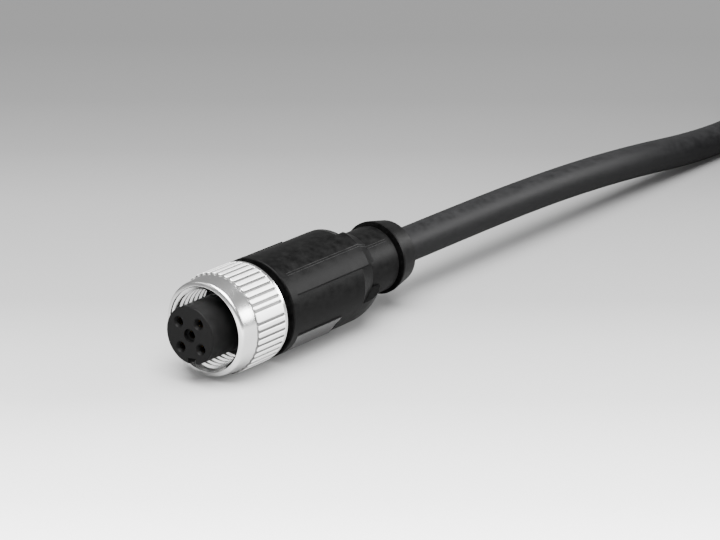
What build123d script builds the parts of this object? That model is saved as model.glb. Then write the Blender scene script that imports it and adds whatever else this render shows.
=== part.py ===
from math import cos, pi, radians, sin, tan
import os

from build123d import *

# Moulded five-pole M12 socket connector with a two metre lead, in millimetres.
# The mating axis is X, with the cable towards +X, and the origin is the centre of the coupling nut's mouth.
# Angles around the axis are seen from the mating face: 0 is to the right, 90 is up.

# Coupling nut
thread_minor_radius = 5.46
thread_length = 5.81
thread_relief_length = 1.2
thread_relief_radius = 6.05
nut_mouth_radius = 6.15
nut_face_radius = 6.74
nut_face_depth = 0.38
nut_band_radius = 6.98
nut_band_length = 2.84
nut_knurl_radius = 7.22
nut_rim_radius = 7.16
nut_rim_length = 0.75
nut_rim_round = 0.12
nut_lip_thickness = 1.6

# Grooves of the knurl, counted up from the narrow land beside the plain one
groove_pitch_angle = 8.46
groove_count = 41
groove_first_angle = 32.6
groove_beside_plain_land_angle = 25.5
groove_width = 0.28
groove_depth = 0.2

# Clearances
nut_running_gap = 0.08
nut_axial_gap = 0.08
nut_rear_gap = 1.3
flange_gap = 0.21
chamber_gap = 0.03
seat_gap = 0.02
bond_gap = 0.02
tie_gap = 0.1

# Contact carrier
carrier_protrusion = 3.0
barrel_radius = 4.1
barrel_edge_round = 0.17
flange_thickness = 0.92
stem_radius = 4.67
stem_length = 5.3
front_wall = 0.8
keyway_width = 1.4
keyway_depth = 0.9
keyway_length = 8.2
pattern_roll_angle = 5.6

# Contacts and their places
pin_circle_diameter = 5.0
outer_contact_count = 4
outer_entry_radius = 0.825
outer_entry_depth = 0.45
centre_entry_radius = 0.975
centre_entry_depth = 0.55
pin_hole_radius = 0.575
contact_bore_radius = 0.53
contact_bore_depth = 8.0
contact_outer_radius = 0.75
contact_slit_width = 0.2
contact_slit_length = 4.5
contact_shoulder_radius = 1.0
contact_shoulder_length = 0.6
contact_tail_length = 1.2
crimp_bore_radius = 0.42
crimp_bore_depth = 3.0

# Sealing ring and its seat at the foot of the barrel
seal_section_radius = 0.6
seal_seat_depth = 0.2
seal_seat_length = 1.3

# Cores and the inner moulding around them
core_names = ["brown", "white", "blue", "black", "grey"]
core_radius = 0.625
conductor_radius = 0.36
core_ring_radius = 1.2
core_ring_angle = 275.6
core_straight = 1.2
core_run_length = 7.26
inner_mould_radius = 5.2
inner_mould_cone = 4.5
inner_mould_rear_radius = 3.7
inner_mould_rear_length = 1.5
jacket_grip_length = 3.94

# Grip body
body_radius = 7.03
body_length = 16.0
body_edge_round = 0.2
collar_height = 0.17
collar_length = 1.5
shoulder_length = 4.4
shoulder_foot_height = 0.2
neck_radius = 4.9
neck_length = 6.35
band_height = 0.1
band_arc = 50.0
band_slope_length = 2.8
band_foot_height = 0.85
ridge_arc = 40.0
ridge_delay = 1.0
ridge_overrun = 2.0
ridge_foot_height = 0.18
seam_angle = 50.0
pad_width = 3.75
pad_length = 9.8
pad_face_sink = 0.06
undercut_width = 0.6
undercut_floor_radius = 4.1
rear_ring_lip_radius = 5.4
rear_ring_lip_length = 0.3
rear_ring_length = 3.55
rear_ring_end_radius = 4.73

# Cable
cable_diameter = 5.3
cable_length = 2000.0

# Hank of the length that is put away: turns side by side in lanes and up in layers
hank_near_x = 162.0
hank_fold_radius = 15.9
hank_lanes = 2
hank_layers = 4
hank_tail_run = 36.0
hank_tail_nest_angle = 30.0

# Tie around the hank
tie_x = 174.0
tie_width = 3.6
tie_thickness = 0.9
tie_head_width = 5.6
tie_head_depth = 4.2
tie_head_height = 4.6

# Free ends of the cores past the jacket
lead_length = 30.0
lead_tip_length = 7.0
lead_ring_angle = 90.0
lead_spacing = 2.0
lead_run_out = 3.0
lead_run_down = 13.0

# Places along the axis that follow from the sizes
thread_start = nut_mouth_radius - thread_minor_radius
relief_start = thread_start + thread_length
nut_lip_front = relief_start + thread_relief_length
nut_length = nut_lip_front + nut_lip_thickness
flange_end = nut_lip_front - nut_axial_gap
flange_start = flange_end - flange_thickness
flange_radius = thread_minor_radius - flange_gap
carrier_end = flange_end + stem_length
chamber_start = -carrier_protrusion + front_wall
contact_start = chamber_start + seat_gap
shoulder_front = carrier_end + seat_gap
contact_end = shoulder_front + contact_shoulder_length + contact_tail_length
core_front = contact_end + seat_gap
jacket_start = core_front + core_run_length
mould_start = carrier_end + bond_gap
mould_end = jacket_start + jacket_grip_length
mould_cone_end = mould_end - inner_mould_rear_length
mould_cone_start = mould_cone_end - inner_mould_cone
body_start = nut_length + nut_rear_gap
collar_end = body_start + collar_length
shoulder_start = body_start + body_length
shoulder_end = shoulder_start + shoulder_length
undercut_start = shoulder_end + neck_length
undercut_end = undercut_start + undercut_width
rear_ring_end = undercut_end + rear_ring_length
cable_radius = cable_diameter / 2
core_pitch_angle = 360 / len(core_names)
mating_axis = Axis((0, 0, 0), (-1, 0, 0))

# Route of the cable from the moulding to the hank, down to the surface that the nut rests on
floor_level = -nut_knurl_radius
cable_rest_level = floor_level + cable_radius
cable_route = [
    (jacket_start, 0, 0),
    (50, 0, 0),
    (80, 0, -0.3),
    (104, 0, -1.8),
    (128, 0, cable_rest_level),
    (146, 0, cable_rest_level),
]


def radial_plane(angle):
    """Plane through the mating axis: its x runs towards the cable and its y outwards at this angle."""
    a = radians(angle)
    return Plane(origin=(0, 0, 0), x_dir=(1, 0, 0), z_dir=(0, -sin(a), -cos(a)))


def around(radius, angle):
    """Y and Z of a place at this radius and angle around the mating axis."""
    return -radius * cos(radians(angle)), radius * sin(radians(angle))


def turned(points, angle=0, arc=360):
    """Solid turned from (x, radius) points around the mating axis, over an arc that starts at this angle."""
    with BuildPart() as body:
        with BuildSketch(radial_plane(angle)):
            with BuildLine():
                Polyline(*points, close=True)
            make_face()
        revolve(axis=mating_axis, revolution_arc=arc)
    return body.part


def run_radii(points):
    """Radius of the arc at each inner point: 0.45 of the shorter run over the tangent of half the turn."""
    runs = [Vector(*b) - Vector(*a) for a, b in zip(points, points[1:])]
    return [
        0.45 * min(before.length, after.length) / tan(radians(before.get_angle(after)) / 2)
        for before, after in zip(runs, runs[1:])
    ]


def routed_rod(points, radius):
    """Round rod along straight runs joined by tangent arcs."""
    with BuildPart() as rod:
        with BuildLine() as path:
            FilletPolyline(*points, radius=run_radii(points))
        with BuildSketch(Plane(origin=path.line @ 0, z_dir=path.line % 0)):
            Circle(radius)
        sweep()
    return rod.part


# Contacts 1 to 4 follow each other clockwise from the right of the keyway, and contact 5 is the centre
outer_places = [
    around(pin_circle_diameter / 2, pattern_roll_angle - 360 / outer_contact_count * (i + 0.5))
    for i in range(outer_contact_count)
]
contact_places = outer_places + [(0.0, 0.0)]

os.makedirs("parts", exist_ok=True)


# Coupling nut: turned and knurled, with the core bore of its thread and the lip that pulls on the carrier
knurl_end = nut_length - nut_rim_length
groove_angles = [groove_first_angle + i * groove_pitch_angle for i in range(groove_count)]
groove_angles.append(groove_beside_plain_land_angle)

with BuildPart() as knurl_groove:
    with BuildSketch(Plane.XY.offset(nut_knurl_radius - groove_depth)):
        groove_rear = knurl_end - groove_width / 2
        with Locations((nut_band_length, 0)):
            Rectangle(2 * (groove_rear - nut_band_length), groove_width)
        with Locations((groove_rear, 0)):
            Circle(groove_width / 2)
    extrude(amount=2 * groove_depth)

with BuildPart() as coupling_nut:
    add(turned([
        (0, nut_mouth_radius),
        (nut_face_depth, nut_face_radius),
        (nut_band_length, nut_band_radius),
        (nut_band_length, nut_knurl_radius),
        (knurl_end, nut_knurl_radius),
        (nut_length, nut_rim_radius),
        (nut_length, stem_radius + nut_running_gap),
        (nut_lip_front, stem_radius + nut_running_gap),
        (nut_lip_front, thread_relief_radius),
        (relief_start, thread_relief_radius),
        (relief_start, thread_minor_radius),
        (thread_start, thread_minor_radius),
    ]))
    rear_rings = coupling_nut.edges().filter_by(GeomType.CIRCLE).group_by(Axis.X)[-1]
    fillet(rear_rings.sort_by(SortBy.RADIUS)[-1], nut_rim_round)
    for angle in groove_angles:
        add(knurl_groove.part.rotate(Axis.X, 90 - angle), mode=Mode.SUBTRACT)

coupling_nut.part.label = "coupling_nut"
export_step(coupling_nut.part, "parts/coupling_nut.step")


# Contact carrier: barrel with keyway, the flange that stops the nut, and the stem that the nut turns on
def contact_chamber(entry):
    """Hole for one contact: the entry's points, the pin hole and the chamber that is open at the rear."""
    return turned([
        (-carrier_protrusion, 0),
        *entry,
        (chamber_start, pin_hole_radius),
        (chamber_start, contact_outer_radius + chamber_gap),
        (carrier_end, contact_outer_radius + chamber_gap),
        (carrier_end, 0),
    ])


outer_chamber = contact_chamber([
    (-carrier_protrusion, outer_entry_radius),
    (-carrier_protrusion + outer_entry_depth, pin_hole_radius),
])
centre_chamber = contact_chamber([
    (-carrier_protrusion, centre_entry_radius),
    (-carrier_protrusion + centre_entry_depth, centre_entry_radius),
    (-carrier_protrusion + centre_entry_depth, pin_hole_radius),
])
seal_seat_radius = barrel_radius - seal_seat_depth
seal_seat_start = flange_start - seal_seat_length

with BuildPart() as contact_carrier:
    add(turned([
        (-carrier_protrusion, 0),
        (-carrier_protrusion, barrel_radius),
        (seal_seat_start, barrel_radius),
        (seal_seat_start, seal_seat_radius),
        (flange_start, seal_seat_radius),
        (flange_start, flange_radius),
        (flange_end, flange_radius),
        (flange_end, stem_radius),
        (carrier_end, stem_radius),
        (carrier_end, 0),
    ]))
    fillet(contact_carrier.edges().filter_by(GeomType.CIRCLE).sort_by(Axis.X)[0], barrel_edge_round)
    with BuildSketch(radial_plane(pattern_roll_angle - 90).offset(-keyway_width / 2)):
        with Locations((-carrier_protrusion, barrel_radius)):
            Rectangle(2 * keyway_length, 2 * keyway_depth)
    extrude(amount=keyway_width, mode=Mode.SUBTRACT)
    for y, z in outer_places:
        add(outer_chamber.moved(Location((0, y, z))), mode=Mode.SUBTRACT)
    add(centre_chamber, mode=Mode.SUBTRACT)

contact_carrier.part.label = "contact_carrier"
export_step(contact_carrier.part, "parts/contact_carrier.step")


# Socket contacts: turned sleeves with a slit mouth, a shoulder behind the carrier and a crimped tail
crimp_start = contact_end - crimp_bore_depth

with BuildPart() as socket_contact:
    add(turned([
        (contact_start, contact_bore_radius),
        (contact_start, contact_outer_radius),
        (shoulder_front, contact_outer_radius),
        (shoulder_front, contact_shoulder_radius),
        (shoulder_front + contact_shoulder_length, contact_shoulder_radius),
        (shoulder_front + contact_shoulder_length, contact_outer_radius),
        (contact_end, contact_outer_radius),
        (contact_end, crimp_bore_radius),
        (crimp_start, crimp_bore_radius),
        (crimp_start, 0),
        (contact_start + contact_bore_depth, 0),
        (contact_start + contact_bore_depth, contact_bore_radius),
    ]))
    with Locations((contact_start, 0, 0)):
        Box(2 * contact_slit_length, contact_slit_width, 3 * contact_outer_radius, mode=Mode.SUBTRACT)

for number, (y, z) in enumerate(contact_places, start=1):
    contact = socket_contact.part.moved(Location((0, y, z)))
    contact.label = f"socket_contact_{number}"
    export_step(contact, f"parts/socket_contact_{number}.step")


# Sealing ring: sits in its seat against the carrier's flange
with BuildPart() as seal_ring:
    with BuildSketch(Plane.XZ):
        seal_x = flange_start - seat_gap - seal_section_radius
        with Locations((seal_x, seal_seat_radius + seat_gap + seal_section_radius)):
            Circle(seal_section_radius)
    revolve(axis=Axis.X)

seal_ring.part.label = "seal_ring"
export_step(seal_ring.part, "parts/seal_ring.step")


# Cores inside the moulding: the conductor in the contact's tail, then the insulated core to the jacket
def core_place(number, ring_angle):
    """Y and Z of one core in the cable: that of the centre contact sits at the ring's own angle."""
    slot = 0 if number == outer_contact_count else -number % outer_contact_count + 1
    return around(core_ring_radius, ring_angle + slot * core_pitch_angle)


def core_route(number):
    """Points of one core from its contact to its place in the cable's end."""
    y0, z0 = contact_places[number]
    y1, z1 = core_place(number, core_ring_angle)
    return [
        (core_front, y0, z0),
        (core_front + core_straight, y0, z0),
        (jacket_start - core_straight, y1, z1),
        (jacket_start - bond_gap, y1, z1),
    ]


for number, colour in enumerate(core_names):
    with BuildPart() as core:
        add(routed_rod(core_route(number), core_radius))
        with BuildSketch(Plane.YZ.offset(crimp_start + seat_gap)):
            with Locations(contact_places[number]):
                Circle(conductor_radius)
        extrude(amount=core_front - crimp_start)
    core.part.label = f"core_{colour}"
    export_step(core.part, f"parts/core_{colour}.step")


# Inner moulding: holds the contact tails, the cores and the jacket's end
def mould_outline(gap):
    """Outline of the inner moulding from its front to its rear, this much larger all round."""
    return [
        (mould_start - gap, inner_mould_radius + gap),
        (mould_cone_start, inner_mould_radius + gap),
        (mould_cone_end, inner_mould_rear_radius + gap),
        (mould_end + gap, inner_mould_rear_radius + gap),
    ]


tail_start = shoulder_front + contact_shoulder_length

with BuildPart() as inner_mould:
    add(turned([(mould_start, 0), *mould_outline(0), (mould_end, 0)]))
    with BuildSketch(Plane.YZ.offset(jacket_start - bond_gap)):
        Circle(cable_radius + bond_gap)
    extrude(amount=mould_end - jacket_start + 2 * bond_gap, mode=Mode.SUBTRACT)
    with BuildSketch(Plane.YZ.offset(mould_start)):
        with Locations(*contact_places):
            Circle(contact_shoulder_radius + bond_gap)
    extrude(amount=tail_start + bond_gap - mould_start, mode=Mode.SUBTRACT)
    with BuildSketch(Plane.YZ.offset(tail_start)):
        with Locations(*contact_places):
            Circle(contact_outer_radius + bond_gap)
    extrude(amount=contact_end + bond_gap - tail_start, mode=Mode.SUBTRACT)
    for number in range(len(contact_places)):
        add(routed_rod(core_route(number), core_radius + bond_gap), mode=Mode.SUBTRACT)

inner_mould.part.label = "inner_mould"
export_step(inner_mould.part, "parts/inner_mould.step")


# Grip body: moulded over the stem, the inner moulding and the cable, with the strain-relief ring behind
band_radius = body_radius + band_height
ridge_start = shoulder_start + ridge_delay
ridge_end = shoulder_end + ridge_overrun
ridge_radius = body_radius - bond_gap
ridge_foot = (ridge_end, neck_radius + ridge_foot_height)
pad_face = body_radius - pad_face_sink
pad_middle = collar_end + pad_length / 2
cavity = [
    (body_start, 0),
    (body_start, stem_radius + bond_gap),
    (mould_start - bond_gap, stem_radius + bond_gap),
    *mould_outline(bond_gap),
    (mould_end + bond_gap, cable_radius + bond_gap),
    (rear_ring_end, cable_radius + bond_gap),
    (rear_ring_end, 0),
]

with BuildPart() as grip_body:
    add(turned([
        (body_start, 0),
        (body_start, body_radius + collar_height),
        (collar_end, body_radius + collar_height),
        (collar_end, body_radius),
        (shoulder_start, body_radius),
        (shoulder_end, neck_radius + shoulder_foot_height),
        (shoulder_end, neck_radius),
        (undercut_start, neck_radius),
        (undercut_start, undercut_floor_radius),
        (undercut_end, undercut_floor_radius),
        (undercut_end, rear_ring_lip_radius),
        (undercut_end + rear_ring_lip_length, rear_ring_lip_radius),
        (rear_ring_end, rear_ring_end_radius),
        (rear_ring_end, 0),
    ]))
    fillet(grip_body.edges().filter_by(GeomType.CIRCLE).sort_by(Axis.X)[0], body_edge_round)

    for side in (seam_angle, seam_angle + 180):
        # A slightly raised band runs from the collar along each side, centred on the mould's seam
        add(turned([
            (collar_end, band_radius),
            (shoulder_end - band_slope_length, band_radius),
            (shoulder_end, neck_radius + band_foot_height),
            (shoulder_end, neck_radius / 2),
            (collar_end, neck_radius / 2),
        ], side - band_arc / 2, band_arc))

        # A long ridge between the bands carries the body's side further down the shoulder
        middle = side + 90
        with BuildSketch(radial_plane(middle - ridge_arc / 2)):
            with BuildLine():
                crest = Line((collar_end, ridge_radius), (ridge_start, ridge_radius))
                TangentArc(crest @ 1, ridge_foot, tangent=(1, 0))
                Polyline(ridge_foot, (ridge_end, neck_radius / 2), (collar_end, neck_radius / 2), crest @ 0)
            make_face()
        revolve(axis=mating_axis, revolution_arc=ridge_arc)

        # A flat pad on each mould half, proud of the round body at its long edges
        with BuildSketch(radial_plane(middle).offset(-pad_width / 2)):
            with Locations((pad_middle, pad_face - neck_radius / 2)):
                Rectangle(pad_length, neck_radius)
        extrude(amount=pad_width)
        with BuildSketch(radial_plane(middle).offset(-pad_width / 2)):
            with Locations((pad_middle, pad_face + neck_radius / 2)):
                Rectangle(pad_length, neck_radius)
        extrude(amount=pad_width, mode=Mode.SUBTRACT)

    add(turned(cavity), mode=Mode.SUBTRACT)

grip_body.part.label = "grip_body"
export_step(grip_body.part, "parts/grip_body.step")


# Cable: its jacket from inside the moulding to the hank
cable_tube = routed_rod(cable_route, cable_radius)
cable_tube.label = "cable_tube"
export_step(cable_tube, "parts/cable_tube.step")
tube_length = sum((Vector(*b) - Vector(*a)).length for a, b in zip(cable_route, cable_route[1:]))
print("cable arc radii", [round(r, 1) for r in run_radii(cable_route)])
print("cable section times length", round(pi * cable_radius**2 * tube_length),
      "volume", round(cable_tube.volume))


# Hank: the outer shape of its turns, with the tail in the groove between the lanes
hank_entry_x = cable_route[-1][0]
hank_lead_in = hank_near_x - hank_entry_x
hank_turns = hank_lanes * hank_layers
hank_inner_side = hank_fold_radius - cable_radius
hank_outer_side = hank_inner_side + hank_lanes * cable_diameter
hank_middle = (hank_inner_side + hank_outer_side) / 2
hank_height = hank_layers * cable_diameter
hank_centre_y = cable_radius - hank_outer_side
hanked_length = cable_length - tube_length - hank_lead_in
hank_run = (hanked_length / hank_turns - 2 * pi * hank_middle) / 2
tail_level = hank_height - cable_radius + cable_diameter * cos(radians(hank_tail_nest_angle))
print("hank run", round(hank_run, 2), "in cable diameters", round(hank_run / cable_diameter, 2),
      "fold", round(hank_fold_radius / cable_diameter, 2))

with BuildPart() as cable_hank:
    with BuildSketch(Plane.XY.offset(floor_level)):
        with Locations((hank_near_x + hank_run / 2, hank_centre_y)):
            SlotCenterToCenter(hank_run, 2 * hank_outer_side)
            SlotCenterToCenter(hank_run, 2 * hank_inner_side, mode=Mode.SUBTRACT)
    extrude(amount=hank_height)
    hank_edges = cable_hank.edges().group_by(Axis.Z)
    fillet(hank_edges[0] + hank_edges[-1], cable_radius - bond_gap)
    with BuildSketch(Plane.YZ.offset(hank_entry_x)):
        with Locations((0, cable_rest_level)):
            Circle(cable_radius - bond_gap)
    extrude(amount=hank_lead_in - cable_radius)
    with BuildLine(Plane.XY.offset(floor_level + tail_level)):
        tail_run = Line((hank_near_x + hank_tail_run, hank_centre_y - hank_middle),
                        (hank_near_x, hank_centre_y - hank_middle))
        CenterArc((hank_near_x, hank_centre_y), hank_middle, 270, -180)
    with BuildSketch(Plane(origin=tail_run @ 0, z_dir=tail_run % 0)):
        Circle(cable_radius)
    sweep()
    with Locations((tie_x, hank_centre_y - hank_middle, floor_level)):
        Box(tie_width + 2 * tie_gap, 2 * hank_middle, 2 * (tie_thickness + tie_gap), mode=Mode.SUBTRACT)

cable_hank.part.label = "cable_hank"
export_step(cable_hank.part, "parts/cable_hank.step")


# Tie: a band pulled round one side of the hank and its tail, with its locking head inside the hank
tie_floor = floor_level + tie_thickness + tie_gap
tie_middle_y = hank_centre_y - hank_middle
tie_inner_y = hank_centre_y - hank_inner_side
tie_outer_y = hank_centre_y - hank_outer_side
tie_outline = [
    (tie_outer_y, tie_floor),
    (tie_inner_y, tie_floor),
    (tie_inner_y, tie_floor + hank_height),
    (tie_middle_y + cable_radius, tie_floor + tail_level + cable_radius),
    (tie_middle_y - cable_radius, tie_floor + tail_level + cable_radius),
    (tie_outer_y, tie_floor + hank_height),
]
tie_head_y = tie_inner_y + tie_gap + tie_thickness + tie_head_depth / 2

with BuildPart() as hank_tie:
    for grow, mode in ((tie_gap + tie_thickness, Mode.ADD), (tie_gap, Mode.SUBTRACT)):
        with BuildSketch(Plane.YZ.offset(tie_x - tie_width / 2)):
            with BuildLine():
                Polyline(*tie_outline, close=True)
            make_face()
            offset(amount=grow, kind=Kind.ARC)
        extrude(amount=tie_width, mode=mode)
    with Locations((tie_x, tie_head_y, tie_floor + hank_height / 2)):
        Box(tie_head_width, tie_head_depth, tie_head_height)

hank_tie.part.label = "hank_tie"
export_step(hank_tie.part, "parts/hank_tie.step")


# Free leads: the cores past the jacket's end, side by side on the hank and stripped at their tips
tail_end_y = hank_centre_y + hank_middle
lead_places = [core_place(number, lead_ring_angle) for number in range(len(core_names))]
lead_rest_level = floor_level + hank_height + core_radius
ahead = Vector(1, 0, 0)

for colour, (side, rise) in zip(core_names, lead_places):
    step = sorted(lead_places).index((side, rise)) - (len(core_names) - 1) / 2
    start = Vector(hank_near_x + bond_gap, tail_end_y + side, floor_level + tail_level + rise)
    bend = start + ahead * lead_run_out
    touch_down = Vector(bend.X + lead_run_down, tail_end_y + step * lead_spacing, lead_rest_level)
    lead_run_level = lead_length - lead_tip_length - lead_run_out - (touch_down - bend).length
    strip = touch_down + ahead * lead_run_level
    with BuildPart() as lead:
        add(routed_rod([start, bend, touch_down, strip], core_radius))
        with BuildSketch(Plane(origin=strip - ahead * bond_gap, z_dir=ahead)):
            Circle(conductor_radius)
        extrude(amount=lead_tip_length)
    lead.part.label = f"lead_{colour}"
    export_step(lead.part, f"parts/lead_{colour}.step")
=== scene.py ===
from math import cos, hypot, pi, radians, sin

import bmesh
import bpy
from mathutils import Matrix, Vector


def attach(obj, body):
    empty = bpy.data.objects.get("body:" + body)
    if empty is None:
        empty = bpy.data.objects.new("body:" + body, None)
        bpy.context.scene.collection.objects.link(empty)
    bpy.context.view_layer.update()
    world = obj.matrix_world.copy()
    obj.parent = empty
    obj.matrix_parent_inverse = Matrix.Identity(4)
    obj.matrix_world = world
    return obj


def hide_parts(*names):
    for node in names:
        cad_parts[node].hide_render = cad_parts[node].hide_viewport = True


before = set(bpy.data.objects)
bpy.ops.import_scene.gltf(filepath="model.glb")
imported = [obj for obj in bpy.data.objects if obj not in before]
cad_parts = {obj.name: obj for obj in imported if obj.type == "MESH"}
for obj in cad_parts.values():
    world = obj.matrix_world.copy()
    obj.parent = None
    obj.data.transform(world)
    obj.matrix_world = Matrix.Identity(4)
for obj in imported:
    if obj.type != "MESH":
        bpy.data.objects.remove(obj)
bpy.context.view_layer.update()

mm = 0.001

# Camera: a long lens that looks down on the connector from its front left, with the mating face
# towards the viewer and the cable running away to the upper right.
bearing = radians(37.57)
downward = radians(19.05)
picture_width = 720
picture_height = 540
focal_px = 3000.0
mouth_px = (204.0, 329.7)
mouth_distance = 404.9 * mm
look = Vector((cos(downward) * cos(bearing), cos(downward) * sin(bearing), -sin(downward)))
right = Vector((sin(bearing), -cos(bearing), 0.0))
up = right.cross(look)
lens = bpy.data.cameras.new("camera")
lens.sensor_width = 36.0
lens.lens = focal_px / picture_width * lens.sensor_width
lens.clip_start = 0.01
camera = bpy.data.objects.new("camera", lens)
bpy.context.scene.collection.objects.link(camera)
mouth_right = (mouth_px[0] - picture_width / 2) / focal_px
mouth_below = (mouth_px[1] - picture_height / 2) / focal_px
view = look + mouth_right * right - mouth_below * up
camera.matrix_world = Matrix((
    (right.x, up.x, -look.x, -mouth_distance * view.x),
    (right.y, up.y, -look.y, -mouth_distance * view.y),
    (right.z, up.z, -look.z, -mouth_distance * view.z),
    (0, 0, 0, 1),
))
bpy.context.scene.camera = camera


# Cable: five cores in a matt grey-black polyurethane jacket, extruded in one length. It leaves the
# grip along the axis, sinks to the surface that the nut rests on, and its spare length lies in a
# tied hank of eight turns, two side by side in each of four layers.
class Tone:
    """A socket of a material that works in sums like a number; node() adds any other node."""

    def __init__(self, tree, socket=None):
        self.tree = tree
        self.socket = socket

    def node(self, kind, inputs=None, output=0, stops=(), **settings):
        """Adds a node, sets it, fills its inputs with values or tones, and gives one output."""
        made = self.tree.nodes.new("ShaderNode" + kind)
        for name, value in settings.items():
            setattr(made, name, value)
        for place, shade in stops:
            stop = made.color_ramp.elements.new(place)
            stop.color = (shade, shade, shade, 1)
        if stops:
            made.color_ramp.elements.remove(made.color_ramp.elements[-1])
            made.color_ramp.elements.remove(made.color_ramp.elements[0])
        for name, value in (inputs or {}).items():
            if isinstance(value, Tone):
                self.tree.links.new(value.socket, made.inputs[name])
            else:
                made.inputs[name].default_value = value
        return Tone(self.tree, made.outputs[output] if made.outputs else None)

    def __add__(self, other):
        return self.node("Math", {0: self, 1: other}, operation="ADD")

    def __sub__(self, other):
        return self.node("Math", {0: self, 1: other}, operation="SUBTRACT")

    def __rsub__(self, other):
        return self.node("Math", {0: other, 1: self}, operation="SUBTRACT")

    def __mul__(self, other):
        return self.node("Math", {0: self, 1: other}, operation="MULTIPLY")

    def __gt__(self, other):
        return self.node("Math", {0: self, 1: other}, operation="GREATER_THAN")

    def __lt__(self, other):
        return self.node("Math", {0: self, 1: other}, operation="LESS_THAN")

    def __abs__(self):
        return self.node("Math", {0: self}, operation="ABSOLUTE")

    __radd__ = __add__
    __rmul__ = __mul__


def new_finish(name):
    """An empty material, and the tone that its nodes are made from."""
    material = bpy.data.materials.new(name)
    material.use_nodes = True
    material.node_tree.nodes.clear()
    return material, Tone(material.node_tree)


def give_finish(piece, material):
    """The piece shows this material all over."""
    if piece.material_slots:
        for place in piece.material_slots:
            place.material = material
    else:
        piece.data.materials.append(material)


def blended(tone, share, dark, light):
    """The tone of a colour that goes from dark to light as the share goes from 0 to 1."""
    return tone.node("Mix", {0: share, 6: dark, 7: light}, 2, data_type="RGBA")


def plastic(name, dark, light, roughness, grain, relief, gloss=0.5, polish=None):
    """Moulded or extruded plastic: a mottled colour and a fine grain, both with sizes in metres.

    Polish makes the tone that says how far each place is polished, from the place's own tone.
    """
    contrast = 2.4
    material, tone = new_finish(name)
    place = tone.node("TexCoord", output="Object")
    cloud = tone.node("TexNoise", {
        "Vector": place, "Scale": 0.12 / grain, "Detail": 5.0, "Roughness": 0.62})
    grit = tone.node("TexNoise", {
        "Vector": place, "Scale": 1 / grain, "Detail": 3.0, "Roughness": 0.6})
    mottle = (cloud * 0.7 + grit * 0.3 - 0.5) * contrast + 0.5
    bump = tone.node("Bump", {"Height": grit, "Strength": 0.5, "Distance": relief})
    shader = tone.node("BsdfPrincipled", {
        "Base Color": blended(tone, mottle, (*dark, 1), (*light, 1)),
        "Roughness": roughness + 0.34 * (cloud - 0.5) + 0.14 * (grit - 0.5),
        "Normal": bump, "IOR": 1.47, "Specular IOR Level": gloss, "Coat Roughness": 0.2,
        "Coat Weight": polish(place) if polish else 0.0,
    })
    tone.node("OutputMaterial", {"Surface": shader})
    return material


floor_level = -7.22
cable_radius = 2.65
cable_rest = floor_level + cable_radius
cable_points = [
    (22, 0, 0), (50, 0, 0), (80, 0, -0.3), (104, 0, -1.8),
    (128, 0, cable_rest), (146, 0, cable_rest), (160, 0, cable_rest),
]
turn_pitch = 5.3
outer_fold = 21.2
inner_fold = 15.9
tail_fold = 18.55
turn_folds = (outer_fold, inner_fold, inner_fold, outer_fold,
              outer_fold, inner_fold, inner_fold, outer_fold, tail_fold)
turn_layers = (0, 0, 1, 1, 2, 2, 3, 3, 3.866)
hank_near = 162.0
hank_run = 57.96
hank_middle = -outer_fold
hank_top = floor_level + 4 * turn_pitch
turn_length = 2 * hank_run + 2 * pi * tail_fold
change_length = 36.0
change_drift = 11
run_inset = 12
fold_corners = 8
tie_x = 174.0
tie_lift = 1.1
tie_reach = 17


def smooth_step(t):
    """From 0 to 1 with level ends."""
    t = min(max(t, 0.0), 1.0)
    return t * t * (3 - 2 * t)


def hank_place(way):
    """A control point of the cable's line after this length of the hank, in millimetres."""
    fold = turn_folds[0]
    layer = turn_layers[0]
    for k in range(len(turn_folds) - 1):
        # Each turn changes over to the next one a little earlier than the turn before it did
        past = way - (k + 1) * turn_length + change_length / 2 + change_drift * k
        change = smooth_step(past / change_length + 0.5)
        fold += change * (turn_folds[k + 1] - turn_folds[k])
        layer += change * (turn_layers[k + 1] - turn_layers[k])
    side, passed = divmod(way % turn_length, turn_length / 2)
    along = min(passed, hank_run)
    angle = pi / 2 - pi * side - max(passed - hank_run, 0) / tail_fold
    if passed > hank_run:
        fold /= cos(pi / fold_corners / 2)
    x = hank_near + (hank_run - along if side else along) + fold * cos(angle)
    y = hank_middle + fold * sin(angle)
    lift = tie_lift * smooth_step(1.5 - abs(x - tie_x) / tie_reach) if y < hank_middle else 0
    return x, y, cable_rest + turn_pitch * layer + lift


half_stations = [run_inset, hank_run / 2, hank_run - run_inset]
half_stations += [hank_run + tail_fold * pi * (i + 0.5) / fold_corners for i in range(fold_corners)]
for half in range(2 * len(turn_folds) - 2):
    cable_points += [hank_place(half * turn_length / 2 + station) for station in half_stations]
cable_points.append(hank_place((len(turn_folds) - 1) * turn_length))


def smooth_cord(name, points, radius, sides):
    """A round cord whose one line has these points, in millimetres, as its control points."""
    curve = bpy.data.curves.new(name, "CURVE")
    curve.dimensions = "3D"
    line = curve.splines.new("NURBS")
    line.points.add(len(points) - 1)
    for point, (x, y, z) in zip(line.points, points):
        point.co = (x * mm, y * mm, z * mm, 1)
    line.order_u = 3
    line.use_endpoint_u = True
    line.resolution_u = 8
    line.use_smooth = True
    curve.bevel_depth = radius * mm
    curve.bevel_resolution = sides
    curve.use_fill_caps = True
    cord = bpy.data.objects.new(name, curve)
    bpy.context.scene.collection.objects.link(cord)
    return cord


cable = smooth_cord("cable", cable_points, cable_radius, 8)
jacket = plastic("matt polyurethane jacket", (0.004, 0.004, 0.0042), (0.012, 0.012, 0.0125),
                 roughness=0.52, grain=0.16 * mm, relief=0.010 * mm, gloss=0.085)
give_finish(cable, jacket)
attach(cable, "root")
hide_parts("cable_tube", "cable_hank")


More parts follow.
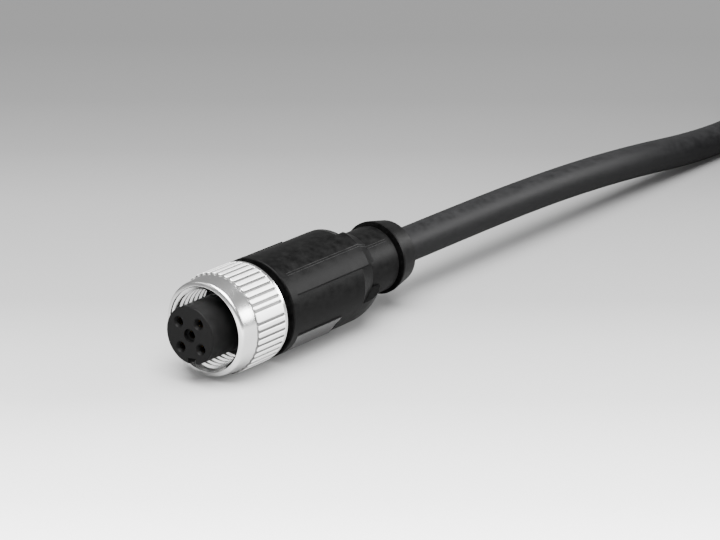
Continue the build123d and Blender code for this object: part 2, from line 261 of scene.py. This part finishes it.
# Tie: a moulded nylon strap that is pulled through its own head round one side of the hank, held
# there by the head's pawl, and cut off short.
tie_width = 3.6
tie_thickness = 0.9
tie_gap = 0.1
tie_floor = floor_level + tie_thickness + tie_gap
tie_outside = -45.05
tie_inside = -34.45
tie_middle = hank_middle - tail_fold
tie_shoulder = tie_floor + 4 * turn_pitch
tie_top = tie_floor + 25.79
tie_corners = [
    (tie_outside, tie_floor), (tie_inside, tie_floor), (tie_inside, tie_shoulder),
    (tie_middle + cable_radius, tie_top), (tie_middle - cable_radius, tie_top),
    (tie_outside, tie_shoulder),
]


def mesh_piece(name, verts, faces, smooth_angle=30):
    """A mesh object from points in millimetres, smooth except over edges sharper than this."""
    mesh = bpy.data.meshes.new(name)
    mesh.from_pydata([(x * mm, y * mm, z * mm) for x, y, z in verts], [], faces)
    mesh.validate()
    mesh.shade_smooth()
    mesh.set_sharp_from_angle(angle=radians(smooth_angle))
    piece = bpy.data.objects.new(name, mesh)
    bpy.context.scene.collection.objects.link(piece)
    return piece


def loft(rings, closed_along=False):
    """Faces between rings of point numbers, where a ring has as many as the last, half or twice."""
    faces = []
    pairs = list(zip(rings, rings[1:])) + ([(rings[-1], rings[0])] if closed_along else [])
    for a, b in pairs:
        n, m = len(a), len(b)
        if m == n:
            faces += [(a[i], a[(i + 1) % n], b[(i + 1) % n], b[i]) for i in range(n)]
        elif 2 * m == n:
            faces += [(a[i], a[i + 1], a[(i + 2) % n], b[(i // 2 + 1) % m], b[i // 2])
                      for i in range(0, n, 2)]
        else:
            faces += [(a[i], a[(i + 1) % n], b[(2 * i + 2) % m], b[2 * i + 1], b[2 * i])
                      for i in range(n)]
    return faces


def around_corners(corners, outward, steps=6):
    """The outline this far outside the corners, with its own corners rounded."""
    line = []
    count = len(corners)
    for k in range(count):
        before, here, after = (Vector(corners[(k + j) % count]) for j in (-1, 0, 1))
        first = (here - before).normalized()
        second = (after - here).normalized()
        turn = first.angle(second)
        normal = Vector((first.y, -first.x))
        for s in range(steps + 1):
            a = turn * s / steps
            line.append(here + outward * Vector((
                normal.x * cos(a) - normal.y * sin(a), normal.x * sin(a) + normal.y * cos(a))))
    return line


strap_edge = 0.25
under, over, half_width = tie_gap, tie_gap + tie_thickness, tie_width / 2
strap_rings = []
strap_points = []
for outward, across in (
    (under, half_width - strap_edge), (under + strap_edge, half_width),
    (over - strap_edge, half_width), (over, half_width - strap_edge),
    (over, strap_edge - half_width), (over - strap_edge, -half_width),
    (under + strap_edge, -half_width), (under, strap_edge - half_width),
):
    line = around_corners(tie_corners, outward)
    strap_rings.append(range(len(strap_points), len(strap_points) + len(line)))
    strap_points += [(tie_x - across, p.x, p.y) for p in line]
strap = mesh_piece("tie_strap", strap_points, loft(strap_rings, closed_along=True), 50)


def block(centre, size, edge):
    """Points and faces of a block with bevelled edges, in millimetres."""
    rings = []
    verts = []
    half = [s / 2 for s in size]
    for out, level in ((edge, -half[2]), (0, edge - half[2]), (0, half[2] - edge), (edge, half[2])):
        ring = []
        for sx, sy in ((1, 1), (-1, 1), (-1, -1), (1, -1)):
            on_x = (sx * (half[0] - out), sy * (half[1] - out - edge))
            on_y = (sx * (half[0] - out - edge), sy * (half[1] - out))
            for x, y in (on_x, on_y) if sx * sy > 0 else (on_y, on_x):
                ring.append(len(verts))
                verts.append((centre[0] + x, centre[1] + y, centre[2] + level))
        rings.append(ring)
    return verts, loft(rings) + [tuple(reversed(rings[0])), tuple(rings[-1])]


def joined(*solids):
    """Points and faces of several solids as one list of each."""
    verts = []
    faces = []
    for solid_verts, solid_faces in solids:
        faces += [tuple(len(verts) + i for i in face) for face in solid_faces]
        verts += solid_verts
    return verts, faces


head_front = tie_inside + tie_gap + tie_thickness
head_middle = tie_floor + 10.6
head_height = 4.6
cheek_offset = 2.3
# The head's two cheeks, its outer and inner wall, the strap's end between them, and the pawl
head_points, head_faces = joined(
    block((tie_x - cheek_offset, head_front + 2.1, head_middle), (1.0, 4.2, head_height), 0.2),
    block((tie_x + cheek_offset, head_front + 2.1, head_middle), (1.0, 4.2, head_height), 0.2),
    block((tie_x, head_front + 3.55, head_middle), (3.6, 1.3, head_height), 0.2),
    block((tie_x, head_front + 0.45, head_middle), (3.6, 0.9, head_height), 0.2),
    block((tie_x, head_front + 2.3, head_middle + 1.2), (3.3, 0.9, 8.2), 0.15),
    block((tie_x, head_front + 1.55, head_middle - 0.7), (2.4, 0.8, 2.6), 0.12),
)
tie_head = mesh_piece("tie_head", head_points, head_faces, 20)
nylon = plastic("natural nylon", (0.62, 0.60, 0.55), (0.74, 0.73, 0.69),
                roughness=0.38, grain=0.5 * mm, relief=0.004 * mm)
for piece in (strap, tie_head):
    give_finish(piece, nylon)
    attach(piece, "root")
    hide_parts("hank_tie")


# Leads: the five cores past the end of the jacket, each a twist of bare copper strands in a
# coloured sleeve that is stripped back at the tip.
core_radius = 0.625
core_ring = 1.2
core_slots = {"brown": 1, "white": 4, "blue": 3, "black": 2, "grey": 0}
tail_level = hank_top - cable_radius + 4.59
tail_side = hank_middle + tail_fold
inside_jacket = 0.4
lead_straight = 3.4
lead_fall = 13
lead_spacing = 2.0
lead_beyond = 20
strand_radius = 0.115
strand_ring = 2.05 * strand_radius
strand_overlap = 0.3
strand_length = 7.3
strand_lay = 9
strand_steps = 14
ring_strands = 6
ahead = Vector((1, 0, 0))
sleeve_colours = {
    "brown": ((0.10, 0.035, 0.012), (0.16, 0.06, 0.025)),
    "white": ((0.72, 0.72, 0.70), (0.84, 0.84, 0.82)),
    "blue": ((0.02, 0.07, 0.30), (0.03, 0.11, 0.42)),
    "black": ((0.010, 0.010, 0.010), (0.022, 0.022, 0.022)),
    "grey": ((0.20, 0.20, 0.21), (0.29, 0.29, 0.30)),
}
copper, tone = new_finish("bare copper strand")
place = tone.node("TexCoord", output="Object")
dull = tone.node("TexNoise", {"Vector": place, "Scale": 900.0, "Detail": 3.0})
shader = tone.node("BsdfPrincipled", {
    "Base Color": blended(tone, dull, (0.78, 0.36, 0.20, 1), (0.90, 0.50, 0.32, 1)),
    "Metallic": 1.0, "Roughness": 0.2 + 0.25 * dull,
})
tone.node("OutputMaterial", {"Surface": shader})

lead_places = {}
for colour_name, slot_number in core_slots.items():
    a = radians(90 + 360 / 5 * slot_number)
    lead_places[colour_name] = (-core_ring * cos(a), core_ring * sin(a))
sides_in_order = sorted(lead_places.values())
middle_lead = 2
sleeves = {}
lead_pieces = []
for colour_name, (side, rise) in lead_places.items():
    step = sides_in_order.index((side, rise)) - middle_lead
    start = Vector((hank_near - inside_jacket, tail_side + side, tail_level + rise))
    bend = start + lead_straight * ahead
    down = Vector((bend.x + lead_fall, tail_side + lead_spacing * step, hank_top + core_radius))
    strip = down + (lead_beyond - (down - bend).length) * ahead
    sleeve = smooth_cord("lead_sleeve_" + colour_name, [start, bend, down, strip], core_radius, 4)
    sleeves[colour_name] = plastic(colour_name + " core sleeve", *sleeve_colours[colour_name],
                                   roughness=0.36, grain=0.3 * mm, relief=0.003 * mm)
    give_finish(sleeve, sleeves[colour_name])
    twist = bpy.data.curves.new("lead_strands_" + colour_name, "CURVE")
    twist.dimensions = "3D"
    twist.bevel_depth = strand_radius * mm
    twist.bevel_resolution = 2
    twist.use_fill_caps = True
    for strand in range(ring_strands + 1):
        line = twist.splines.new("POLY")
        line.points.add(strand_steps)
        for k, point in enumerate(line.points):
            along = -strand_overlap + strand_length * k / strand_steps
            wind = 2 * pi * (strand / ring_strands + along / strand_lay)
            off = 0 if strand == ring_strands else strand_ring
            p = strip + Vector((along, off * cos(wind), off * sin(wind)))
            point.co = (p.x * mm, p.y * mm, p.z * mm, 1)
    strands = bpy.data.objects.new("lead_strands_" + colour_name, twist)
    bpy.context.scene.collection.objects.link(strands)
    give_finish(strands, copper)
    for piece in (sleeve, strands):
        "insulation_" + colour_name
        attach(piece, "root")
        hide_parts("lead_" + colour_name)
        lead_pieces.append(piece)

[strap, tie_head] + lead_pieces


# Coupling nut: turned brass with a rolled straight knurl and an M12 x 1 thread, nickel plated to a
# satin shine. One land of the knurl is left plain and wide.
nut_length = 9.3
knurl_front = 2.84
knurl_rear = 8.55
knurl_radius = 7.22
rim_radius = 7.16
band_radius = 6.98
groove_floor = 7.02
half_groove = 0.14
groove_step = 8.46
groove_angles = [25.5] + [32.6 + groove_step * i for i in range(41)]
groove_grid = (0, 0.10, 0.14, 0.15, 0.17, 0.20, 0.25, 0.32, 0.42, 0.60, 0.75)
least_spacing = 0.03
land_round = 0.2
land_front_round = 0.15
corner_round = 0.3
front_step = 0.08
thread_pitch = 1.0
thread_minor = 5.46
thread_major = 6.0
thread_start = 0.10
thread_end = 6.5
thread_flat = 0.25
thread_flank = 0.3125
mouth_cone = 6.12


def outer_samples():
    """Angles around the nut, dense at the grooves, each with its distance from a groove."""
    samples = []
    per_degree = knurl_radius * pi / 180
    for here, after in zip(groove_angles, groove_angles[1:] + [groove_angles[0] + 360]):
        half = (after - here) * per_degree / 2
        steps = [s for s in groove_grid if s < half - least_spacing]
        samples += [(here + s / per_degree, s) for s in steps] + [(here + half / per_degree, half)]
        samples += [(after - s / per_degree, s) for s in reversed(steps[1:])]
    return samples


def knurled_radius(x, aside):
    """Radius of the knurl at this place along the nut and this far from a groove's middle."""
    side = aside - half_groove
    if x > knurl_rear - half_groove:
        side = hypot(aside, x - knurl_rear + half_groove) - half_groove
    ahead = x - knurl_front - front_step / 2
    if side < corner_round and ahead < corner_round:
        corner = corner_round - hypot(corner_round - side, corner_round - ahead)
        side, ahead = min(side, corner), min(ahead, corner)
    floor = band_radius + (groove_floor - band_radius) * smooth_step(ahead / front_step + 0.5)
    rearward = max(0, (x - knurl_rear) / (nut_length - knurl_rear))
    top = knurl_radius - (knurl_radius - rim_radius) * rearward
    swell = 1
    for inside, width in ((side, land_round), (ahead, land_front_round)):
        swell *= 1 - (1 - min(max(inside / width, 0), 1)) ** 2
    return floor + (top - floor) * swell ** 0.5


def threaded_radius(x, angle):
    """Radius of the right-hand thread inside the nut, opened by the cone of its mouth."""
    phase = (x / thread_pitch + angle / 360) % 1
    risen = min(max((phase - thread_flat) / thread_flank, 0), 1)
    fallen = max((phase - (1 - thread_flank)) / thread_flank, 0)
    return max(thread_minor + (thread_major - thread_minor) * (risen - fallen), mouth_cone - x)


samples = outer_samples()
inner_samples = samples[::2]
nut_points = []
nut_rings = []


def nut_ring(sampled, station):
    """Adds one ring of points: the station gives x and radius for each sample."""
    nut_rings.append(range(len(nut_points), len(nut_points) + len(sampled)))
    for angle, aside in sampled:
        x, radius = station(angle, aside)
        a = radians(angle)
        nut_points.append((x, -radius * cos(a), radius * sin(a)))


def plain_rings(sampled, profile):
    """Adds round rings, one for each x and radius of the profile."""
    for x, radius in profile:
        nut_ring(sampled, lambda angle, aside: (x, radius))


# From the rear edge over the rim, the knurl, the plain band and the rounded lip into the mouth
plain_rings(inner_samples, [(9.2, 4.75), (9.28, 4.80), (9.3, 4.88)])
plain_rings(samples, [(9.3, 7.0), (9.285, 7.06), (9.24, 7.105), (9.18, 7.15)])
for x in (9.1, 8.9, 8.75, 8.66, 8.60, 8.57, 8.54, 8.51, 8.47, 8.42, 8.36, 8.28, 8.1, 7.4, 6.5, 5.6,
          4.7, 4.0, 3.6, 3.42, 3.32, 3.23, 3.15, 3.08, 3.02, 2.97, 2.94, 2.91, 2.88, 2.85, 2.82):
    nut_ring(samples, lambda angle, aside: (x, knurled_radius(x, aside)))
plain_rings(samples, [
    (2.78, 6.973), (2.2, 6.918), (1.3, 6.83), (0.62, 6.763), (0.48, 6.745), (0.36, 6.715),
    (0.26, 6.665), (0.19, 6.60), (0.14, 6.53), (0.08, 6.33), (0.04, 6.20), (0.015, 6.14)])
plain_rings(inner_samples, [(0.01, 6.10), (0.03, 6.075)])

# The thread, each ring along the helix, so where it closes it meets the ring one pitch in front
thread_front = len(nut_rings)
thread_turns = 8
thread_phases = (0, 0.125, 0.25, 0.33, 0.41, 0.49, 0.5625, 0.625, 0.6875, 0.765, 0.843, 0.921)
for k in range(len(thread_phases) * thread_turns):
    turn_start = k // len(thread_phases) + thread_phases[k % len(thread_phases)]

    def thread_station(angle, aside):
        x = min(max((turn_start - angle / 360) * thread_pitch, thread_start), thread_end)
        return x, threaded_radius(x, angle)

    nut_ring(inner_samples, thread_station)
thread_rear = len(nut_rings)
plain_rings(inner_samples, [(6.52, 6.05), (7.62, 6.05), (7.68, 6.03), (7.7, 5.97), (7.7, 4.86),
                            (7.72, 4.80), (7.80, 4.75)])

nut_faces = loft(nut_rings[:thread_front]) + loft(nut_rings[thread_rear:])
nut_faces += loft([nut_rings[-1], nut_rings[0]])
for k in range(thread_front, thread_rear - 1):
    a, b = nut_rings[k], nut_rings[k + 1]
    a_front, b_front = (nut_rings[max(j - len(thread_phases), thread_front)] for j in (k, k + 1))
    nut_faces += [(a[i], a[i + 1], b[i + 1], b[i]) for i in range(len(a) - 1)]
    nut_faces.append((a[-1], a_front[0], b_front[0], b[-1]))
nut_faces += loft([nut_rings[thread_front - 1], nut_rings[thread_front]])
nut_faces += loft([nut_rings[thread_rear - 1], nut_rings[thread_rear]])
nut = mesh_piece("knurled_nut", nut_points, nut_faces, 38)
weld = 0.0005 * mm
shell = bmesh.new()
shell.from_mesh(nut.data)
bmesh.ops.remove_doubles(shell, verts=shell.verts, dist=weld)
bmesh.ops.dissolve_degenerate(shell, edges=shell.edges, dist=weld)
shell.to_mesh(nut.data)
shell.free()

# Painted shade darkens the knurl's groove floors and painted light whitens its lands; the plain
# parts show their turning marks
thread_cover = 6.9
land_skin = 7.165
nickel, tone = new_finish("satin nickel plate")
place = tone.node("TexCoord", output="Object")
along, aside, above = (tone.node("SeparateXYZ", {"Vector": place}, axis) for axis in "XYZ")
from_axis = tone.node("Math", {0: aside * aside + above * above, 1: 0.5}, operation="POWER")
cloud = tone.node("TexNoise", {"Vector": place, "Scale": 420.0, "Detail": 4.0, "Roughness": 0.6})
grit = tone.node("TexNoise", {"Vector": place, "Scale": 7000.0, "Detail": 2.0})
turned = tone.node("TexNoise", {"W": along * 6500.0, "Scale": 1.0, "Detail": 2.0},
                   noise_dimensions="1D")
on_knurl = ((along > (knurl_front + 0.02) * mm) * (along < (knurl_rear + 0.05) * mm)
            * (from_axis > thread_cover * mm))
# Painted shade: the groove floors below the lands' skin take a dark colour
groove_painted_shade = on_knurl * (from_axis < land_skin * mm)
plain = blended(tone, cloud, (0.64, 0.64, 0.635, 1), (0.76, 0.76, 0.755, 1))
# Painted light: the knurl's lands take a near white colour, brighter than the plain nickel
knurl_painted_light = blended(tone, on_knurl, plain, (0.97, 0.97, 0.965, 1))
relief = turned * (1 - on_knurl) * 0.7 + grit * 0.2
bump = tone.node("Bump", {"Height": relief, "Strength": 0.2, "Distance": 0.001 * mm})
shader = tone.node("BsdfPrincipled", {
    "Base Color": blended(tone, groove_painted_shade, knurl_painted_light, (0.17, 0.17, 0.168, 1)), "Metallic": 1.0,
    "Roughness": 0.15 + 0.08 * cloud + 0.04 * grit + 0.34 * on_knurl, "Normal": bump,
})
tone.node("OutputMaterial", {"Surface": shader})
give_finish(nut, nickel)
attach(nut, "nut")
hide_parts("coupling_nut")


# Contact carrier: black glass-filled nylon, moulded in one with its barrel, keyway, flange and
# stem. The flange takes the nut's pull, and the grip is moulded round the stem.
carrier_nylon = plastic("black glass-filled nylon", (0.0022, 0.0022, 0.0022),
                        (0.0055, 0.0055, 0.0055), roughness=0.5, grain=0.12 * mm,
                        relief=0.006 * mm, gloss=0.09)
give_finish(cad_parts["contact_carrier"], carrier_nylon)


# Socket contacts: turned and slit brass sleeves, plated with gold over nickel, and pressed into
# the five bores of the carrier from behind.
gold, tone = new_finish("gold plate in painted shade")
place = tone.node("TexCoord", output="Object")
cloud = tone.node("TexNoise", {"Vector": place, "Scale": 1500.0, "Detail": 3.0})
along = tone.node("SeparateXYZ", {"Vector": place}, "X")
turned = tone.node("TexNoise", {"W": along * 9000.0, "Scale": 1.0, "Detail": 2.0},
                   noise_dimensions="1D")
bump = tone.node("Bump", {"Height": turned, "Strength": 0.3, "Distance": 0.003 * mm})
shader = tone.node("BsdfPrincipled", {
    # Painted shade: the gold is coloured a dim brown, far darker than gold, for the shade inside
    # the bores
    "Base Color": blended(tone, cloud, (0.36, 0.24, 0.09, 1), (0.48, 0.34, 0.14, 1)),
    "Metallic": 1.0, "Roughness": 0.18 + 0.14 * cloud, "Normal": bump,
})
tone.node("OutputMaterial", {"Surface": shader})
for number in range(1, 6):
    give_finish(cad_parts[f"socket_contact_{number}"], gold)


# Sealing ring: moulded nitrile rubber at the foot of the barrel, pressed against the flange by
# the mating connector's face.
rubber = plastic("nitrile rubber", (0.010, 0.010, 0.010), (0.022, 0.022, 0.022),
                 roughness=0.58, grain=0.2 * mm, relief=0.004 * mm)
give_finish(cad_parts["seal_ring"], rubber)


# Inner moulding and cores: the hard first shot that holds the contact tails and the end of the
# jacket, with the five coloured cores inside it.
first_shot = plastic("grey-black first shot", (0.028, 0.028, 0.030), (0.055, 0.055, 0.058),
                     roughness=0.5, grain=0.2 * mm, relief=0.006 * mm)
give_finish(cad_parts["inner_mould"], first_shot)
for colour_name, sleeve in sleeves.items():
    give_finish(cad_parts["core_" + colour_name], sleeve)


# Grip body: black polyurethane moulded over everything behind the nut, with the matt grain of a
# spark-eroded mould and two polished pads. A double line of flash shows where the mould's halves
# met, coloured lighter than the grip as a painted highlight, and a fine near-black strip is painted
# shadow along the edge of an insert in the mould.
pad_angle = radians(-40.0)
pad_level = 6.8
pad_half_width = 1.87
pad_front = 12.1
pad_rear = 21.9


def on_pads(place):
    """One on the two flat pads, and nothing on the rest of the grip."""
    x, y, z = (place.node("SeparateXYZ", {"Vector": place}, axis) for axis in "XYZ")
    outward = abs(y * cos(pad_angle) - z * sin(pad_angle))
    across = abs(y * sin(pad_angle) + z * cos(pad_angle))
    return ((outward > pad_level * mm) * (across < pad_half_width * mm)
            * (x > pad_front * mm) * (x < pad_rear * mm))


grip_black = plastic("black moulded grip", (0.0002, 0.0002, 0.0002), (0.006, 0.006, 0.006),
                     roughness=0.42, grain=0.14 * mm, relief=0.018 * mm, gloss=0.05,
                     polish=on_pads)
give_finish(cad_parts["grip_body"], grip_black)

grip_skin = 7.13
neck_skin = 4.9
shoulder_end = 31.0
flash_line = [(x, grip_skin) for x in (12.15, 16, 20, 24, 28.2)]
flash_line += [(29.6, 6.44), (30.98, 5.76), (31.02, 5.55), (31.02, 4.93)]
flash_line += [(x, neck_skin) for x in (31.1, 33, 36.4)]
insert_shadow_line = [(x, grip_skin) for x in (10.9, 14, 18, 22, 26, 28.1)]


def mould_lines(name, line, angle, shifts, height, half_foot, half_top):
    """Fine ridges along both sides of the grip, at this angle from the right, shifted sideways."""
    sink = 0.02
    points = []
    faces = []
    for a in (radians(angle), radians(angle + 180)):
        across = Vector((0, sin(a), cos(a)))
        outward = Vector((0, -cos(a), sin(a)))
        for shift in shifts:
            rings = []
            for x, radius in line:
                on_end_face = shoulder_end < x < shoulder_end + 0.05
                raised = Vector((1, 0, 0)) if on_end_face else outward
                foot = Vector((x, 0, 0)) + radius * outward + shift * across
                rings.append(range(len(points), len(points) + 4))
                points += [
                    foot - sink * raised - half_foot * across,
                    foot + height * raised - half_top * across,
                    foot + height * raised + half_top * across,
                    foot - sink * raised + half_foot * across,
                ]
            faces += loft(rings) + [tuple(reversed(rings[0])), tuple(rings[-1])]
    return mesh_piece(name, points, faces, 60)


seam = mould_lines("seam_flash", flash_line, angle=50.0, shifts=(-0.17, 0.17),
                   height=0.05, half_foot=0.06, half_top=0.02)
# Painted highlight: the flash ridges are coloured lighter than the black grip
seam_painted_highlight = plastic("seam flash with painted highlight", (0.003, 0.003, 0.003),
                     (0.028, 0.028, 0.028), roughness=0.45, grain=0.12 * mm,
                     relief=0.004 * mm, gloss=0.12)
give_finish(seam, seam_painted_highlight)
# Painted shadow: a near-black matt strip along the edge of the raised band, where shade falls
insert_edge_shadow = mould_lines("insert_edge_shadow", insert_shadow_line, angle=24.6, shifts=(0,),
                          height=0.015, half_foot=0.10, half_top=0.07)
insert_shadow_black = plastic("painted shadow along the mould insert's edge", (0.002, 0.002, 0.002),
                     (0.008, 0.008, 0.008), roughness=0.8, grain=0.2 * mm,
                     relief=0.004 * mm, gloss=0.02)
give_finish(insert_edge_shadow, insert_shadow_black)
for piece in (seam, insert_edge_shadow):
    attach(piece, "root")


# Stage: a pale surface painted darker with distance, a painted light falloff, that also glows
# faintly as painted light; a low soft panel behind on the right that draws the bright line along
# the grip and the nut, a fill panel on the left and a soft top light.
table_reach = 3000
table_corners = [
    (-table_reach, -table_reach, floor_level), (table_reach, -table_reach, floor_level),
    (table_reach, table_reach, floor_level), (-table_reach, table_reach, floor_level),
]
table = mesh_piece("table", table_corners, [(0, 1, 2, 3)])
fade_per_metre = 4.0
fade_at_mouth = 0.25
paper, tone = new_finish("pale paper with painted falloff and glow")
place = tone.node("TexCoord", output="Object")
across = tone.node("SeparateXYZ", {"Vector": place}, "X")
away = tone.node("SeparateXYZ", {"Vector": place}, "Y")
distance = (across * cos(bearing) + away * sin(bearing)) * fade_per_metre + fade_at_mouth
# Painted light falloff: pale near the connector, darker farther away
shade = tone.node("ValToRGB", {"Fac": distance}, stops=[
    (0.02, 0.88), (0.088, 0.65), (0.151, 0.527), (0.221, 0.39), (0.296, 0.315), (0.378, 0.224),
    (0.47, 0.19), (0.57, 0.158), (0.682, 0.111), (0.806, 0.083), (0.98, 0.068)])
# Painted light: the surface also glows a little in the same tone
shader = tone.node("BsdfPrincipled", {
    "Base Color": shade, "Roughness": 0.9, "Specular IOR Level": 0.1, "Emission Color": shade,
    "Emission Strength": 0.25,
})
tone.node("OutputMaterial", {"Surface": shader})
give_finish(table, paper)


def soft_panel(name, azimuth, elevation, distance, width, height, radiance):
    """A rectangular soft light that faces the connector from here, in degrees and metres."""
    light = bpy.data.lights.new(name, "AREA")
    light.shape = "RECTANGLE"
    light.size = width
    light.size_y = height
    light.energy = radiance * pi * width * height
    panel = bpy.data.objects.new(name, light)
    a, e = radians(azimuth), radians(elevation)
    towards = Vector((cos(e) * cos(a), cos(e) * sin(a), sin(e)))
    panel.location = distance * towards
    panel.rotation_euler = towards.to_track_quat("Z", "Y").to_euler()
    bpy.context.scene.collection.objects.link(panel)


soft_panel("back_panel", azimuth=-32, elevation=19.5, distance=1.5, width=1.3, height=0.5,
           radiance=17.5)
soft_panel("left_panel", azimuth=136, elevation=34, distance=1.5, width=0.9, height=0.7,
           radiance=2.0)
soft_panel("top_panel", azimuth=217, elevation=77, distance=1.6, width=1.6, height=1.6,
           radiance=21.5)
world = bpy.data.worlds.new("studio")
world.use_nodes = True
world.node_tree.nodes["Background"].inputs["Color"].default_value = (0.38, 0.38, 0.38, 1)
bpy.context.scene.world = world
